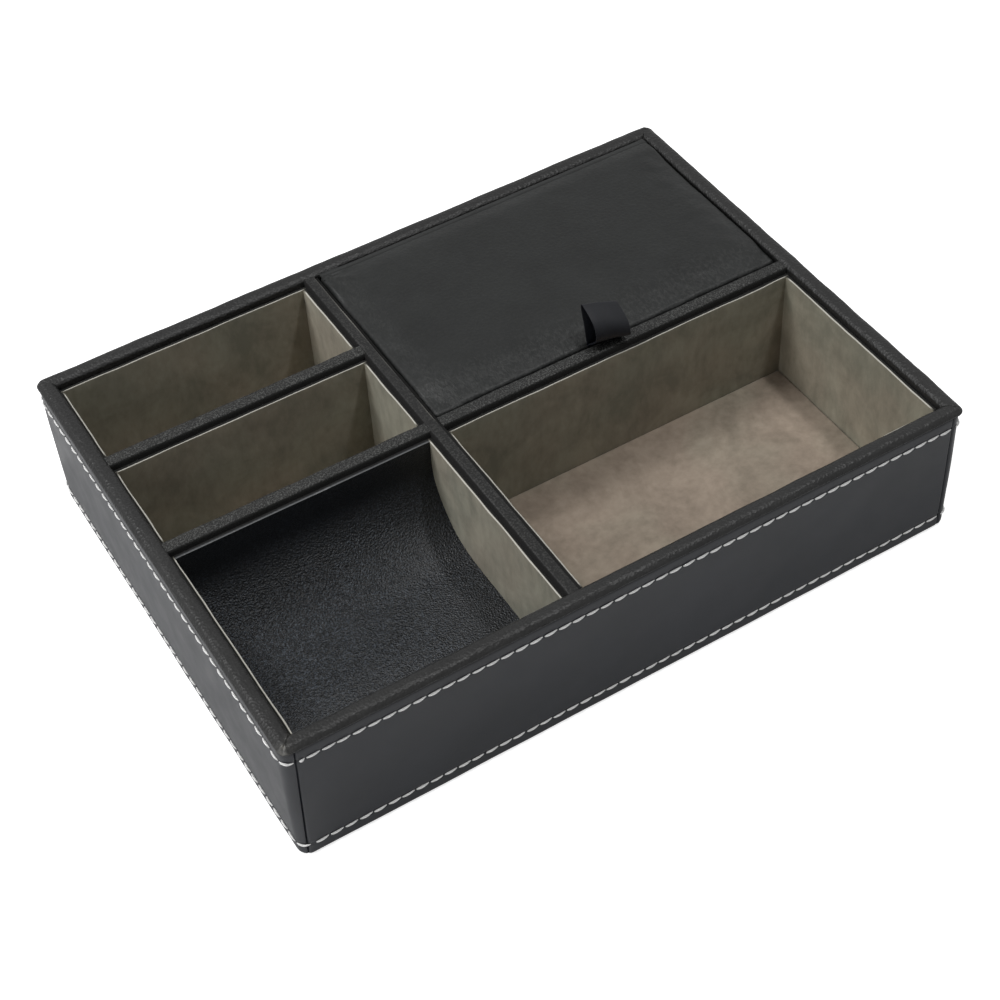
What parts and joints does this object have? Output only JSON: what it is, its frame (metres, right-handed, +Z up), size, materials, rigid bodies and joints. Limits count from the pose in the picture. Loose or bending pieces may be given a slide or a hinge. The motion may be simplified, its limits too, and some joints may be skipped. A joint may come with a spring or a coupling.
{
  "type": "valet tray with lidded compartment",
  "caption": "Low leather-covered valet box with suede-lined open compartments, a curved watch cradle and a compartment under a hinged padded lid with a ribbon pull.",
  "frame": {"origin": "middle of the underside, on the surface that the box stands on", "axes": "+X to the right along the long front side, +Y to the back, where the lid is hinged, +Z up"},
  "size_m": [0.265, 0.195, 0.0738],
  "materials": {
    "board": "plain fibreboard",
    "side_leather": "smooth black, satin",
    "rim_leather": "fine-grained black, satin",
    "cradle_leather": "pebble-grained black",
    "lid_leather": "fine-grained black, satin",
    "suede": "grey-beige brushed suede cloth on card",
    "card": "bent card",
    "foam": "soft foam",
    "felt": "black felt",
    "ribbon": "black satin ribbon"
  },
  "bodies": {
    "case": {"back_rim_leather": "rim_leather", "back_side_leather": "side_leather", "back_slot_back_lining": "suede", "back_slot_floor_pad": "suede", "back_slot_front_lining": "suede", "back_slot_left_lining": "suede", "back_slot_right_lining": "suede", "back_wall_board": "board", "base_board": "board", "base_felt": "felt", "cradle_card": "card", "cradle_divider_board": "board", "cradle_divider_leather": "rim_leather", "cradle_leather": "cradle_leather", "cradle_left_cheek": "suede", "cradle_left_rib": "board", "cradle_right_cheek": "suede", "cradle_right_rib": "board", "front_rim_leather": "rim_leather", "front_side_leather": "side_leather", "front_slot_back_lining": "suede", "front_slot_floor_pad": "suede", "front_slot_front_lining": "suede", "front_slot_left_lining": "suede", "front_slot_right_lining": "suede", "front_wall_board": "board", "hinge_wall_leg": "lid_leather", "left_rim_leather": "rim_leather", "left_side_leather": "side_leather", "left_wall_board": "board", "lid_bay_back_lining": "suede", "lid_bay_floor_pad": "suede", "lid_bay_front_lining": "suede", "lid_bay_left_lining": "suede", "lid_bay_right_lining": "suede", "lid_divider_board": "board", "lid_divider_leather": "rim_leather", "long_divider_board": "board", "long_divider_leather": "rim_leather", "right_rim_leather": "rim_leather", "right_side_leather": "side_leather", "right_wall_board": "board", "slot_divider_board": "board", "slot_divider_leather": "rim_leather", "tray_back_lining": "suede", "tray_floor_pad": "suede", "tray_front_lining": "suede", "tray_left_lining": "suede", "tray_right_lining": "suede"},
    "lid": {"lid_cover_leather": "lid_leather", "lid_board": "board", "lid_foam_pad": "foam", "lid_lining": "suede", "lid_pull_ribbon": "ribbon", "hinge_lid_leg": "lid_leather"}
  },
  "joints": [
    {"name": "lid_hinge", "type": "hinge", "parent": "case", "child": "lid", "pos_m": [0.0529, 0.0908, 0.0572], "axis": [-1, 0, 0], "range_deg": [0, 110]}
  ]
}
